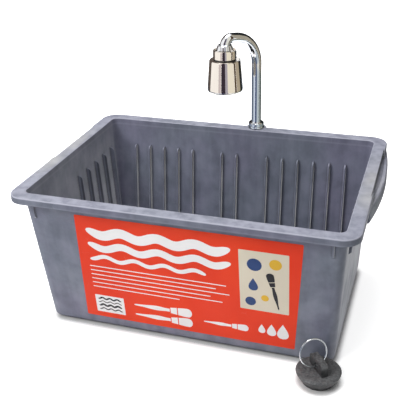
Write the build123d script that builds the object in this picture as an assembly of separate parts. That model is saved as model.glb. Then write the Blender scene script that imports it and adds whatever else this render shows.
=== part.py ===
from build123d import *
import math
import os

# A paint-brush washing tub with a gooseneck spray tap on its back rim and a loose rubber stopper.
# Millimetres. +X runs along the tub's long side, +Y to its back, +Z up; the origin is the middle
# of the tub's underside, on the table.

# ---- the tub: one moulding, with sloping walls and a turned-down rim
TUB_LENGTH = 460.0
TUB_WIDTH = 330.0
TUB_HEIGHT = 210.0
WALL = 3.0
FLOOR = 3.0
RIM_WIDTH = 19.0
RIM_THICK = 3.5
RIM_CORNER = 24.0
SKIRT_DROP = 9.0
SKIRT_THICK = 3.0
MOUTH_ROUNDING = 1.2
FOOT_INSET_X = 26.0
FOOT_INSET_Y = 38.1
FOOT_HEIGHT = 6.0
FOOT_RING = 4.0
FOOT_ROUNDING = 12.0
FOOT_RIB = 4.0
FOOT_RIB_X = (-90.0, 0.0, 90.0)
BOTTOM_CORNER = 14.0
TOP_CORNER = 12.0
RIM_OVERHANG = RIM_WIDTH - WALL
WALL_TOP = TUB_HEIGHT - RIM_THICK
FLOOR_TOP = FOOT_HEIGHT + FLOOR
SKIRT_BOTTOM = TUB_HEIGHT - SKIRT_DROP

# ---- upright ribs that the bristles are rubbed on
RIB_THICK = 3.0
RIB_DEPTH = 8.0
RIB_TOP = 170.0
BACK_RIB_PITCH = 24.5
SIDE_RIB_PITCH = 29.0
RIB_END_ROOM = 8.0

# ---- hand grips bowed out of the short sides, and gussets under the rim
GRIP_HALF = 102.0
GRIP_MID_Y = 38.0
GRIP_BOW = 9.0
GRIP_THICK = 5.5
GRIP_TOP = TUB_HEIGHT - 8.0
GRIP_BOTTOM = GRIP_TOP - 20.0
GRIP_LIP_X = TUB_LENGTH / 2 - 2.5
GRIP_GROOVE_FLOOR = SKIRT_BOTTOM
GRIP_WEB = 2.5
GUSSET_THICK = 2.4
GUSSET_DEPTH = 3.4
LONG_SIDE_GUSSET_FOOT = TUB_HEIGHT - 38.5
SHORT_SIDE_GUSSET_FOOT = TUB_HEIGHT - 50.0
LONG_SIDE_GUSSET_X = TUB_LENGTH / 2 - 32.0
SHORT_SIDE_GUSSET_Y = TUB_WIDTH / 2 - 55.0

# ---- the drain in the floor, and the stopper that closes it
DRAIN_X = TUB_LENGTH / 2 - 95.0
DRAIN_RADIUS = 22.0
DRAIN_BOSS_RADIUS = DRAIN_RADIUS + 6.0
DRAIN_CHAMFER = 1.5
PLUG_TIP_RADIUS = DRAIN_RADIUS - 1.5
PLUG_ROOT_RADIUS = DRAIN_RADIUS + 1.0
PLUG_HEIGHT = 8.0
FLANGE_RADIUS = DRAIN_RADIUS + 7.0
STOPPER_TO_TUB = 3.6
STOPPER_X = TUB_LENGTH / 2 - 40.0
STOPPER_Y = -(TUB_WIDTH / 2 - FOOT_INSET_Y + FLANGE_RADIUS + STOPPER_TO_TUB)
FLANGE_THICK = 10.5
FLANGE_UNDERCUT = 4.0
LUG_LENGTH = 34.0
LUG_THICK = 9.0
LUG_HEIGHT = 16.0
LUG_ROUNDING = 5.5
LUG_HOLE_RADIUS = 3.8
LUG_HOLE_HEIGHT = 7.0
LUG_TURN = 36.0
RING_RADIUS = 18.0
RING_WIRE_RADIUS = 0.95
RING_SLANT = 20.0
RING_LEAN = 16.0

# ---- the printed sheet stuck to the front wall
LABEL_TO_LEFT_END = 90.0
LABEL_TO_RIGHT_END = 67.0
LABEL_LENGTH = TUB_LENGTH - LABEL_TO_LEFT_END - LABEL_TO_RIGHT_END
LABEL_TO_TABLE = 18.0
LABEL_TO_SKIRT = 13.5
LABEL_HEIGHT = SKIRT_BOTTOM - LABEL_TO_TABLE - LABEL_TO_SKIRT
LABEL_THICK = 0.3
LABEL_MID_X = (LABEL_TO_LEFT_END - LABEL_TO_RIGHT_END) / 2
LABEL_MID_Z = LABEL_TO_TABLE + LABEL_HEIGHT / 2
LABEL_CORNER = 2.0
LABEL_LEFT_SLANT = 5.0
LABEL_RIGHT_SLANT = -10.0

# ---- fits
RUNNING = 0.07
LOOSE = 0.3
SNUG = 0.1

# ---- the tap's fixing in the back rim
TAP_X = 26.4
TAP_Y = TUB_WIDTH / 2 - 4.0
EAR_RADIUS = 16.0
NECK_RADIUS = 7.5
EAR_THICK = 14.0
EAR_BOTTOM = TUB_HEIGHT - EAR_THICK
TAIL_RADIUS = NECK_RADIUS - 2.0
SHANK_RADIUS = TAIL_RADIUS + 2.5
SHANK_END = TUB_HEIGHT - 42.0
SHANK_BORE = TAIL_RADIUS - 1.0
INLET_RADIUS = SHANK_RADIUS - 0.5
INLET_LENGTH = 19.0
INLET_LEAD = 1.0
BASE_RADIUS = NECK_RADIUS + 4.7
BASE_THICK = 2.0
GASKET_THICK = 1.0
WASHER_RADIUS = SHANK_RADIUS + 3.5
WASHER_THICK = 1.2
LOCK_NUT_APOTHEM = SHANK_RADIUS + 2.6
LOCK_NUT_HEIGHT = 6.0
BASE_TOP = TUB_HEIGHT + GASKET_THICK + BASE_THICK
SOCKET_RADIUS = NECK_RADIUS + 1.8
SOCKET_WALL = 1.3
SOCKET_HEIGHT = 3.5
GLAND_RADIUS = SOCKET_RADIUS + SOCKET_WALL + 1.4
GLAND_TOP = BASE_TOP + 6.5
GLAND_LIP = 2.2
FLUTE_COUNT = 14

# ---- the gooseneck: a tube that turns in its base
NECK_BORE = NECK_RADIUS - 1.5
NECK_TURN = 35.0
RISER_TOP = TUB_HEIGHT + 104.0
BEND_RADIUS = 45.0
BEND_ANGLE = 82.0
OVERHANG_RUN = 10.0
HOOK_INNER = 3.5
HOOK_RADIUS = NECK_RADIUS + HOOK_INNER
TAIL_BORE = TAIL_RADIUS - 2.0
TAIL_BOTTOM = TUB_HEIGHT - 18.0
NECK_COLLAR_THICK = 2.2
SEAL_GROOVE_DEPTH = 0.95
SEAL_WIDTH = 1.3
SEAL_SIDE_ROOM = 0.05
SEAL_RISE = 0.04
LOWER_SEAL_Z = TAIL_BOTTOM + 3.0
UPPER_SEAL_Z = TAIL_BOTTOM + 11.0

# ---- the spray head, whose heights are counted from the middle of its ball
BALL_RADIUS = 9.0
BALL_BORE = 3.6
STEM_DISC_BOTTOM = BALL_RADIUS - 1.6
STEM_DISC_TOP = STEM_DISC_BOTTOM + 3.3
UNION_SEAL_THICK = 1.0
NECK_END_UP = STEM_DISC_TOP + UNION_SEAL_THICK
NECK_END_FLANGE_RADIUS = NECK_RADIUS + 1.4
NECK_END_FLANGE_THICK = 1.7
STEM_DISC_RADIUS = NECK_END_FLANGE_RADIUS + LOOSE
UNION_BOTTOM = STEM_DISC_BOTTOM + 0.7
UNION_HEIGHT = 6.6
UNION_BOTTOM_RADIUS = STEM_DISC_RADIUS + 3.8
UNION_TOP_RADIUS = NECK_RADIUS + 3.0
UNION_MOUTH_ROOM = 0.25
SEAT_RADIUS = BALL_RADIUS + 2.5
UPPER_SEAT_TOP = BALL_RADIUS - 5.0
UPPER_SEAT_BOTTOM = -0.5
CUP_TOP = -0.7
CUP_BOTTOM = -BALL_RADIUS
SPIGOT_RADIUS = SEAT_RADIUS + 3.5
SPIGOT_TOP = CUP_TOP - 0.8
COLLAR_RADIUS = SPIGOT_RADIUS + 2.3
COLLAR_TOP = UNION_BOTTOM - 0.5
COLLAR_BOTTOM = 3.7 - BALL_RADIUS
COLLAR_DISH_RADIUS = COLLAR_RADIUS - 1.9
COLLAR_DISH_FLOOR = UPPER_SEAT_TOP + 1.2
COLLAR_MOUTH_RADIUS = BALL_RADIUS - 0.4
GLIDE_RING_RADIUS = COLLAR_RADIUS - 0.7
GLIDE_RING_THICK = 1.0
BELL_HEIGHT = 47.0
BELL_TOP = COLLAR_BOTTOM - GLIDE_RING_THICK - LOOSE
BELL_BOTTOM = BELL_TOP - BELL_HEIGHT
BELL_TOP_RADIUS = COLLAR_RADIUS + 5.6
BELL_BOTTOM_RADIUS = BELL_TOP_RADIUS + 3.5
BELL_WALL = 1.5
BELL_ROOF = 2.5
CORE_FLANGE_RADIUS = BELL_TOP_RADIUS - 2.9
CORE_FLANGE_THICK = 2.0
CORE_TUBE_RADIUS = 7.0
WATER_WAY_RADIUS = 4.5
CORE_BOTTOM = BELL_BOTTOM + 11.2
FLOW_DISC_RADIUS = CORE_FLANGE_RADIUS + 1.0
FLOW_DISC_THICK = 2.0
BELL_FOOT_LEDGE = 2.5
FACE_THICK = 2.5
FACE_ROOM = 0.05
FACE_RECESS = 1.2
NOZZLE_RADIUS = 0.9
NOZZLE_RINGS = ((6.0, 6), (11.0, 12), (16.0, 18), (20.3, 24))
FACE_SEAL_RADIUS = 0.7
FACE_SEAL_DEPTH = 1.2

# ---- places that follow from the sizes above
NECK_HEADING = Vector(-math.sin(math.radians(NECK_TURN)), -math.cos(math.radians(NECK_TURN)), 0)
BEND = math.radians(BEND_ANGLE)
NECK_REACH = BEND_RADIUS * (1 - math.cos(BEND)) + HOOK_RADIUS * (1 + math.cos(BEND))
NECK_REACH += OVERHANG_RUN * math.sin(BEND)
NECK_END_Z = RISER_TOP + (BEND_RADIUS - HOOK_RADIUS) * math.sin(BEND) + OVERHANG_RUN * math.cos(BEND)
HEAD_X = TAP_X + NECK_HEADING.X * NECK_REACH
HEAD_Y = TAP_Y + NECK_HEADING.Y * NECK_REACH
BALL_Z = NECK_END_Z - NECK_END_UP


STANDING = (Align.CENTER, Align.CENTER, Align.MIN)


def disc(radius, bottom, top, hole=0.0):
    """A round plate about the Z axis, with a hole if one is asked for."""
    plate = Pos(0, 0, bottom) * Cylinder(radius, top - bottom, align=STANDING)
    if hole:
        plate -= Pos(0, 0, bottom - 1) * Cylinder(hole, top - bottom + 2, align=STANDING)
    return plate


def turned(points):
    """A solid turned about the Z axis from a closed outline of (radius, height) corners."""
    outline = make_face(Plane.XZ * Polyline(*points, close=True))
    return revolve(outline, Axis.Z)


def fluted(body, bottom, top, bottom_radius, top_radius, cut):
    """The body with round grooves cut up its cone-shaped side."""
    lean = math.degrees(math.atan2(bottom_radius - top_radius, top - bottom))
    middle = Pos((bottom_radius + top_radius) / 2, 0, (bottom + top) / 2) * Rot(0, -lean, 0)
    groove = middle * Cylinder(cut, (top - bottom) * 1.6)
    return body - [Rot(0, 0, 360 / FLUTE_COUNT * i) * groove for i in range(FLUTE_COUNT)]


def wall_x(height):
    """How far the outside of a short wall stands from the middle at a height."""
    foot = TUB_LENGTH / 2 - FOOT_INSET_X
    return foot + (TUB_LENGTH / 2 - RIM_OVERHANG - foot) * height / WALL_TOP


def wall_y(height):
    """How far the outside of a long wall stands from the middle at a height."""
    foot = TUB_WIDTH / 2 - FOOT_INSET_Y
    return foot + (TUB_WIDTH / 2 - RIM_OVERHANG - foot) * height / WALL_TOP


def tub_section(height, inset, corner):
    """The tub's rounded outline at a height, drawn in from its outside."""
    length, width = 2 * (wall_x(height) - inset), 2 * (wall_y(height) - inset)
    return Plane.XY.offset(height) * RectangleRounded(length, width, corner)


def tub_outside():
    shell = loft([tub_section(0, 0, BOTTOM_CORNER), tub_section(WALL_TOP, 0, TOP_CORNER)])
    return fillet(shell.edges().group_by(Axis.Z)[0], FOOT_ROUNDING)


def tub_inside():
    above = TUB_HEIGHT + 1
    hollow = loft(
        [
            tub_section(FLOOR_TOP, WALL, BOTTOM_CORNER - WALL),
            tub_section(above, WALL, TOP_CORNER - WALL),
        ]
    )
    return fillet(hollow.edges().group_by(Axis.Z)[0], FOOT_ROUNDING - WALL)


def tub_rim():
    """The flat rim, and the skirt that hangs from its outer edge."""
    outline = RectangleRounded(TUB_LENGTH, TUB_WIDTH, RIM_CORNER)
    block = extrude(Plane.XY.offset(SKIRT_BOTTOM) * outline, SKIRT_DROP)
    block = fillet(block.edges().group_by(Axis.Z)[-1], 2.0)
    length, width = TUB_LENGTH - 2 * SKIRT_THICK, TUB_WIDTH - 2 * SKIRT_THICK
    inner = RectangleRounded(length, width, RIM_CORNER - SKIRT_THICK)
    channel = extrude(Plane.XY.offset(SKIRT_BOTTOM - 1) * inner, WALL_TOP - SKIRT_BOTTOM + 1)
    return block - channel


def bow(inset):
    """The curve of the right-hand grip, seen from above, drawn in from its outer face."""
    edge = TUB_LENGTH / 2
    radius = (GRIP_HALF**2 + GRIP_BOW**2) / (2 * GRIP_BOW)
    centre = edge + GRIP_BOW - radius
    reach = radius - inset
    half = GRIP_HALF
    end = centre + math.sqrt(reach**2 - half**2)
    return ThreePointArc((end, -half), (centre + reach, 0), (end, half))


def grip_outline(inset, back):
    """The space between the grip's curve and a straight line behind it."""
    curve = bow(inset)
    low, high = curve @ 0, curve @ 1
    sides = Polyline((high.X, high.Y), (back, high.Y), (back, low.Y), (low.X, low.Y))
    return make_face(curve + sides)


def right_grip():
    """The bowed bar itself, rounded along its outside."""
    back = TUB_LENGTH / 2 - SKIRT_THICK - 2
    block = extrude(Plane.XY.offset(GRIP_BOTTOM) * grip_outline(0, back), GRIP_TOP - GRIP_BOTTOM)
    outside = [e for e in block.edges() if abs(e.center().Y) < 1 and e.center().X > TUB_LENGTH / 2]
    block = fillet(outside, 2.2)
    hollow = grip_outline(GRIP_THICK, back - 5)
    return block - extrude(Plane.XY.offset(GRIP_BOTTOM - 1) * hollow, GRIP_TOP - GRIP_BOTTOM + 2)


def right_grip_groove():
    """The groove between the rim's edge and the grip, cut through rim and skirt."""
    behind = GRIP_LIP_X - 20
    groove = extrude(Plane.XY.offset(SKIRT_BOTTOM - 2) * grip_outline(GRIP_THICK, behind), SKIRT_DROP + 4)
    keep = Pos(GRIP_LIP_X - 50, 0, TUB_HEIGHT) * Box(100, 2 * GRIP_HALF + 2, 60)
    return groove - keep


def right_grip_lip():
    """The short lip that the rim turns down behind the groove, and the web that is its floor."""
    behind = GRIP_LIP_X - SKIRT_THICK
    low = GRIP_GROOVE_FLOOR - GRIP_WEB
    web = extrude(Plane.XY.offset(low) * grip_outline(GRIP_THICK - 1, behind), GRIP_WEB)
    size = (SKIRT_THICK, 1.6 * GRIP_HALF, WALL_TOP + 0.5 - low)
    return web + Pos(GRIP_LIP_X - SKIRT_THICK / 2, 0, low) * Box(*size, align=STANDING)


def gusset(wall, rim_half, frame, low):
    """A slender rib that props the rim: narrow on the open wall, and as wide as the rim behind the skirt."""
    high, shoulder = WALL_TOP + 1, low + GUSSET_DEPTH + WALL / 2
    skirt = rim_half - SKIRT_THICK / 2
    corners = [(wall(low) - WALL / 2, low), (wall(WALL_TOP) - WALL / 2, high), (skirt, high)]
    corners += [(skirt, SKIRT_BOTTOM + 3), (wall(SKIRT_BOTTOM) + GUSSET_DEPTH, SKIRT_BOTTOM + 1)]
    corners += [(wall(shoulder) + GUSSET_DEPTH, shoulder)]
    outline = make_face(frame * Polyline(*corners, close=True))
    return extrude(outline, GUSSET_THICK / 2, both=True)


def gussets():
    long_side = gusset(wall_y, TUB_WIDTH / 2, Plane.YZ, LONG_SIDE_GUSSET_FOOT)
    short_side = gusset(wall_x, TUB_LENGTH / 2, Plane.XZ, SHORT_SIDE_GUSSET_FOOT)
    back = [Pos(x, 0, 0) * long_side for x in (-LONG_SIDE_GUSSET_X, LONG_SIDE_GUSSET_X)]
    right = [Pos(0, y, 0) * short_side for y in (-SHORT_SIDE_GUSSET_Y, SHORT_SIDE_GUSSET_Y)]
    front = [Rot(0, 0, 180) * g for g in back]
    left = [Rot(0, 0, 180) * g for g in right]
    return back + right + front + left


def rib_outline(wall, frame):
    """A rib's side view: along the sloping wall, with a rounded shoulder at its top."""
    low = FLOOR_TOP - 1
    root, nose = -WALL / 2, -WALL - RIB_DEPTH
    corners = [(wall(low) + root, low), (wall(RIB_TOP) + root, RIB_TOP)]
    corners += [(wall(RIB_TOP) + nose, RIB_TOP), (wall(low) + nose, low)]
    outline = make_face(frame * Polyline(*corners, close=True))
    shoulder = outline.vertices().group_by(Axis.Z)[-1]
    shoulder = sorted(shoulder, key=lambda v: abs(v.X) + abs(v.Y))[0]
    return fillet(shoulder, RIB_DEPTH * 0.8)


def rounded_rib(outline):
    """A rib with its rubbing edge rounded over."""
    rib = extrude(outline, RIB_THICK / 2, both=True)
    long_edges = [e for e in rib.edges() if e.length > RIB_TOP / 2]
    nose = sorted(long_edges, key=lambda e: abs(e.center().X) + abs(e.center().Y))[:2]
    return fillet(nose, RIB_THICK * 0.4)


def scrub_ribs():
    back_rib = rounded_rib(rib_outline(wall_y, Plane.YZ))
    right_rib = rounded_rib(rib_outline(wall_x, Plane.XZ))
    half_length = wall_x(FLOOR_TOP) - WALL - RIB_DEPTH - RIB_END_ROOM
    half_width = wall_y(FLOOR_TOP) - WALL - RIB_END_ROOM
    each_way = int(half_length / BACK_RIB_PITCH)
    back = [Pos(BACK_RIB_PITCH * i, 0, 0) * back_rib for i in range(-each_way, each_way + 1)]
    last = int(half_width / SIDE_RIB_PITCH)
    right = [Pos(0, SIDE_RIB_PITCH * i, 0) * right_rib for i in range(last + 1)]
    left = [mirror(rib, Plane.YZ) for rib in right]
    return back + right + left


def foot_recess():
    """The hollow under the floor, which leaves a ring to stand on."""
    length = 2 * (wall_x(0) - FOOT_ROUNDING - FOOT_RING)
    width = 2 * (wall_y(0) - FOOT_ROUNDING - FOOT_RING)
    outline = RectangleRounded(length, width, BOTTOM_CORNER - FOOT_ROUNDING)
    return extrude(Plane.XY.offset(-1) * outline, FOOT_HEIGHT + 1)


def foot_ribs():
    length = 2 * (wall_x(0) - FOOT_ROUNDING) - FOOT_RING
    width = 2 * (wall_y(0) - FOOT_ROUNDING) - FOOT_RING
    height = FOOT_HEIGHT + 0.5
    ribs = [Box(length, FOOT_RIB, height, align=STANDING)]
    ribs += [Pos(x, 0, 0) * Box(FOOT_RIB, width, height, align=STANDING) for x in FOOT_RIB_X]
    return ribs


def eased_mouth(body):
    """The tub with the inner edge of its rim rounded."""
    inside = TUB_LENGTH / 2 - RIM_WIDTH + 2, TUB_WIDTH / 2 - RIM_WIDTH + 2
    mouth = []
    for edge in body.edges().group_by(Axis.Z)[-1]:
        middle = edge.center()
        if abs(middle.X) < inside[0] and abs(middle.Y) < inside[1]:
            mouth.append(edge)
    return fillet(mouth, MOUTH_ROUNDING)


def tub():
    """The whole moulding: walls, rim, grips, ribs, foot, drain and the ear that carries the tap."""
    place = Pos(0, GRIP_MID_Y, 0)
    grip, groove, lip = place * right_grip(), place * right_grip_groove(), place * right_grip_lip()
    ear = Pos(TAP_X, TAP_Y, 0) * disc(EAR_RADIUS, EAR_BOTTOM, TUB_HEIGHT)
    rim = tub_rim() - [groove, mirror(groove, Plane.YZ)]
    body = tub_outside() + [rim, grip, mirror(grip, Plane.YZ), lip, mirror(lip, Plane.YZ), ear]
    body += gussets()
    body = eased_mouth(body - tub_inside())
    body -= foot_recess()
    body += scrub_ribs() + foot_ribs() + [Pos(DRAIN_X, 0, 0) * disc(DRAIN_BOSS_RADIUS, 0, FLOOR_TOP)]
    mouth = turned(
        [
            (0, -1),
            (DRAIN_RADIUS, -1),
            (DRAIN_RADIUS, FLOOR_TOP - DRAIN_CHAMFER),
            (DRAIN_RADIUS + DRAIN_CHAMFER + 1, FLOOR_TOP + 1),
            (0, FLOOR_TOP + 1),
        ]
    )
    body -= Pos(DRAIN_X, 0, 0) * mouth
    body -= Pos(TAP_X, TAP_Y, 0) * disc(SHANK_RADIUS + LOOSE, EAR_BOTTOM - 1, TUB_HEIGHT + 1)
    return body


def front_label():
    """A thin sheet lying on the sloping front wall, with its ends cut on a slant."""
    rise = math.atan2(wall_y(WALL_TOP) - wall_y(0), WALL_TOP)
    outward = Vector(0, -math.cos(rise), -math.sin(rise))
    wall = Plane(origin=(LABEL_MID_X, -wall_y(LABEL_MID_Z), LABEL_MID_Z), x_dir=(1, 0, 0), z_dir=outward)
    half_length, half_height = LABEL_LENGTH / 2, LABEL_HEIGHT / 2
    foot_left, foot_right = -half_length - LABEL_LEFT_SLANT, half_length + LABEL_RIGHT_SLANT
    corners = [(-half_length, half_height), (foot_left, -half_height)]
    corners += [(foot_right, -half_height), (half_length, half_height)]
    sheet = make_face(Polyline(*corners, close=True))
    return extrude(wall * fillet(sheet.vertices(), LABEL_CORNER), LABEL_THICK)


# ---- the stopper ---------------------------------------------------------------------------


def stopper_place():
    return Pos(STOPPER_X, STOPPER_Y, 0) * Rot(0, 0, LUG_TURN)


def stopper():
    """A tapered plug, its flange, and the lug that the ring hangs in; the lug's hole runs along X."""
    top = PLUG_HEIGHT + FLANGE_THICK
    round_part = turned(
        [
            (0, 0),
            (PLUG_TIP_RADIUS - 0.8, 0),
            (PLUG_TIP_RADIUS, 0.8),
            (PLUG_ROOT_RADIUS, PLUG_HEIGHT),
            (FLANGE_RADIUS - FLANGE_UNDERCUT, PLUG_HEIGHT),
            (FLANGE_RADIUS - 0.6, top - 4.2),
            (FLANGE_RADIUS, top - 2.2),
            (FLANGE_RADIUS - 1.9, top - 0.4),
            (FLANGE_RADIUS - 4.0, top),
            (0, top),
        ]
    )
    side = Pos(0, 0, top - 1) * Box(LUG_THICK, LUG_LENGTH, LUG_HEIGHT + 1, align=STANDING)
    upper = side.edges().filter_by(Axis.X).group_by(Axis.Z)[-1]
    lug = fillet(upper, LUG_ROUNDING)
    hole = Pos(0, 0, top + LUG_HOLE_HEIGHT) * Rot(0, 90, 0) * Cylinder(LUG_HOLE_RADIUS, LUG_THICK * 2)
    return stopper_place() * (round_part + lug - hole)


def stopper_ring():
    """A wire ring through the lug's hole, slanting in it and leaning back a little."""
    eye = Pos(0, 0, PLUG_HEIGHT + FLANGE_THICK + LUG_HOLE_HEIGHT)
    hoop = Rot(-RING_LEAN, 0, 0) * Rot(0, -RING_SLANT, 0) * Pos(0, 0, RING_RADIUS)
    hoop = hoop * Rot(90, 0, 0) * Torus(RING_RADIUS, RING_WIRE_RADIUS)
    return stopper_place() * eye * hoop


# ---- the tap's base --------------------------------------------------------------------------


def at_tap(solid):
    return Pos(TAP_X, TAP_Y, 0) * solid


def tap_gasket():
    return at_tap(disc(BASE_RADIUS - 0.2, TUB_HEIGHT, TUB_HEIGHT + GASKET_THICK, SHANK_RADIUS + SNUG))


def tap_shank():
    """The threaded shank, its pipe end, its flange on the rim, and the neck's socket."""
    outer = SOCKET_RADIUS + SOCKET_WALL
    body = turned(
        [
            (SHANK_BORE, SHANK_END),
            (INLET_RADIUS - INLET_LEAD, SHANK_END),
            (INLET_RADIUS, SHANK_END + INLET_LEAD),
            (INLET_RADIUS, SHANK_END + INLET_LENGTH),
            (SHANK_RADIUS, SHANK_END + INLET_LENGTH),
            (SHANK_RADIUS, TUB_HEIGHT + GASKET_THICK),
            (BASE_RADIUS, TUB_HEIGHT + GASKET_THICK),
            (BASE_RADIUS, BASE_TOP - 0.5),
            (BASE_RADIUS - 0.5, BASE_TOP),
            (outer, BASE_TOP),
            (outer, BASE_TOP + SOCKET_HEIGHT),
            (SOCKET_RADIUS, BASE_TOP + SOCKET_HEIGHT),
            (SOCKET_RADIUS, BASE_TOP),
            (TAIL_RADIUS + RUNNING, BASE_TOP),
            (TAIL_RADIUS + RUNNING, TAIL_BOTTOM - LOOSE),
            (SHANK_BORE, TAIL_BOTTOM - LOOSE),
        ]
    )
    return at_tap(body)


def tap_washer():
    return at_tap(disc(WASHER_RADIUS, EAR_BOTTOM - WASHER_THICK, EAR_BOTTOM, SHANK_RADIUS + SNUG))


def tap_lock_nut():
    """The six-sided nut that draws the tap down on the rim."""
    top = EAR_BOTTOM - WASHER_THICK
    low = top - LOCK_NUT_HEIGHT
    hexagon = RegularPolygon(LOCK_NUT_APOTHEM, 6, major_radius=False)
    nut = extrude(Plane.XY.offset(low) * hexagon, LOCK_NUT_HEIGHT)
    corner = LOCK_NUT_APOTHEM / math.cos(math.radians(30))
    rounding = turned(
        [
            (0, low),
            (LOCK_NUT_APOTHEM, low),
            (corner + 0.1, low + 1),
            (corner + 0.1, top - 1),
            (LOCK_NUT_APOTHEM, top),
            (0, top),
        ]
    )
    return at_tap(nut & rounding) - at_tap(disc(SHANK_RADIUS + 0.02, low - 1, top + 1))


def gland_nut():
    """The fluted nut that holds the neck down in its socket."""
    bottom = BASE_TOP + 0.4
    thread = SOCKET_RADIUS + SOCKET_WALL + 0.02
    roof = GLAND_TOP - GLAND_LIP
    body = turned(
        [
            (thread, bottom),
            (GLAND_RADIUS - 0.4, bottom),
            (GLAND_RADIUS, bottom + 0.4),
            (GLAND_RADIUS, GLAND_TOP - 1.2),
            (GLAND_RADIUS - 1.2, GLAND_TOP),
            (NECK_RADIUS + SNUG, GLAND_TOP),
            (NECK_RADIUS + SNUG, roof),
            (thread, roof),
        ]
    )
    return at_tap(fluted(body, bottom, GLAND_TOP, GLAND_RADIUS + 0.45, GLAND_RADIUS + 0.45, 0.85))


def gland_ring():
    """The slippery ring between the neck's collar and the gland nut."""
    low = BASE_TOP + LOOSE + NECK_COLLAR_THICK + SNUG
    return at_tap(disc(SOCKET_RADIUS - 0.05, low, GLAND_TOP - GLAND_LIP, NECK_RADIUS + SNUG))


# ---- the gooseneck -------------------------------------------------------------------------


def neck_path(start):
    """The tube's middle line: a riser, a wide bend, a short run, and a tight hook that ends plumb."""
    up = Vector(0, 0, 1)
    plane = Plane(origin=(TAP_X, TAP_Y, 0), x_dir=NECK_HEADING, z_dir=NECK_HEADING.cross(up))
    riser = Line((0, start), (0, RISER_TOP))
    bend = JernArc(riser @ 1, riser % 1, BEND_RADIUS, -BEND_ANGLE)
    run = Line(bend @ 1, bend @ 1 + (bend % 1) * OVERHANG_RUN)
    hook = JernArc(run @ 1, run % 1, HOOK_RADIUS, BEND_ANGLE - 180)
    return plane * (riser + bend + run + hook)


def neck_tube(radius, start):
    path = neck_path(start)
    section = Plane(origin=path @ 0, z_dir=path % 0) * Circle(radius)
    return sweep(section, path=path)


def gooseneck():
    """The bent tube, the tail that turns in the shank, and the flange at its free end."""
    collar_low = BASE_TOP + LOOSE
    collar_high = collar_low + NECK_COLLAR_THICK
    groove = TAIL_RADIUS - SEAL_GROOVE_DEPTH
    half = SEAL_WIDTH / 2 + SEAL_SIDE_ROOM
    tail = turned(
        [
            (TAIL_BORE, TAIL_BOTTOM),
            (TAIL_RADIUS - 0.5, TAIL_BOTTOM),
            (TAIL_RADIUS, TAIL_BOTTOM + 0.5),
            (TAIL_RADIUS, LOWER_SEAL_Z - half),
            (groove, LOWER_SEAL_Z - half),
            (groove, LOWER_SEAL_Z + half),
            (TAIL_RADIUS, LOWER_SEAL_Z + half),
            (TAIL_RADIUS, UPPER_SEAL_Z - half),
            (groove, UPPER_SEAL_Z - half),
            (groove, UPPER_SEAL_Z + half),
            (TAIL_RADIUS, UPPER_SEAL_Z + half),
            (TAIL_RADIUS, collar_low),
            (SOCKET_RADIUS - SNUG, collar_low),
            (SOCKET_RADIUS - SNUG, collar_high),
            (NECK_RADIUS, collar_high),
            (NECK_RADIUS, collar_high + 4),
            (NECK_BORE, collar_high + 4),
            (NECK_BORE, collar_high),
            (TAIL_BORE, collar_high),
        ]
    )
    tube = neck_tube(NECK_RADIUS, collar_high + 2) - neck_tube(NECK_BORE, collar_high + 2)
    flange_top = NECK_END_UP + NECK_END_FLANGE_THICK
    flange = disc(NECK_END_FLANGE_RADIUS, NECK_END_UP, flange_top, NECK_RADIUS - 0.6)
    return at_tap(tail) + tube + at_ball(flange)


def neck_seal(height):
    """A rubber ring in the tail's groove, standing a hair proud of the tail."""
    half = SEAL_WIDTH / 2
    hole = TAIL_RADIUS - SEAL_GROOVE_DEPTH + 0.02
    return at_tap(disc(TAIL_RADIUS + SEAL_RISE, height - half, height + half, hole))


def lower_neck_seal():
    return neck_seal(LOWER_SEAL_Z)


def upper_neck_seal():
    return neck_seal(UPPER_SEAL_Z)


# ---- the spray head --------------------------------------------------------------------------


def at_ball(solid):
    return Pos(HEAD_X, HEAD_Y, BALL_Z) * solid


def union_mouth(height):
    """The radius that lets the hooked tube through at a height above the ball."""
    rise = height - NECK_END_UP
    return HOOK_RADIUS - math.sqrt(HOOK_INNER**2 - rise**2) + UNION_MOUTH_ROOM


def union_nut():
    """The fluted cone that joins the ball stem to the neck's flange."""
    top = UNION_BOTTOM + UNION_HEIGHT
    thread = STEM_DISC_RADIUS + SNUG
    roof = NECK_END_UP + NECK_END_FLANGE_THICK + 2 * SNUG
    body = turned(
        [
            (thread, UNION_BOTTOM),
            (UNION_BOTTOM_RADIUS, UNION_BOTTOM),
            (UNION_TOP_RADIUS + 0.3, top - 0.8),
            (UNION_TOP_RADIUS - 0.5, top),
            (union_mouth(top), top),
            (union_mouth(roof), roof),
            (thread, roof),
        ]
    )
    low_radius, high_radius = UNION_BOTTOM_RADIUS + 0.3, UNION_TOP_RADIUS + 0.3
    return at_ball(fluted(body, UNION_BOTTOM, top, low_radius, high_radius, 1.0))


def union_seal():
    top = NECK_END_UP - RUNNING
    return at_ball(disc(STEM_DISC_RADIUS - 0.2, STEM_DISC_TOP, top, WATER_WAY_RADIUS))


def ball_stem():
    """A bored ball under a threaded disc."""
    waist = math.sqrt(BALL_RADIUS**2 - (STEM_DISC_BOTTOM - 1) ** 2)
    top = Pos(0, 0, BALL_RADIUS + STEM_DISC_BOTTOM - 1) * Box(40, 40, 2 * BALL_RADIUS)
    ball = Sphere(BALL_RADIUS) - top
    neck = disc(waist, STEM_DISC_BOTTOM - 1, STEM_DISC_BOTTOM + 0.5)
    plate = disc(STEM_DISC_RADIUS, STEM_DISC_BOTTOM, STEM_DISC_TOP)
    return at_ball(ball + neck + plate - disc(BALL_BORE, -20, 20))


def ball_upper_seat():
    """The plastic ring that hooks over the upper half of the ball."""
    ring = disc(SEAT_RADIUS, UPPER_SEAT_BOTTOM, UPPER_SEAT_TOP)
    return at_ball(ring - Sphere(BALL_RADIUS + RUNNING))


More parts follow.
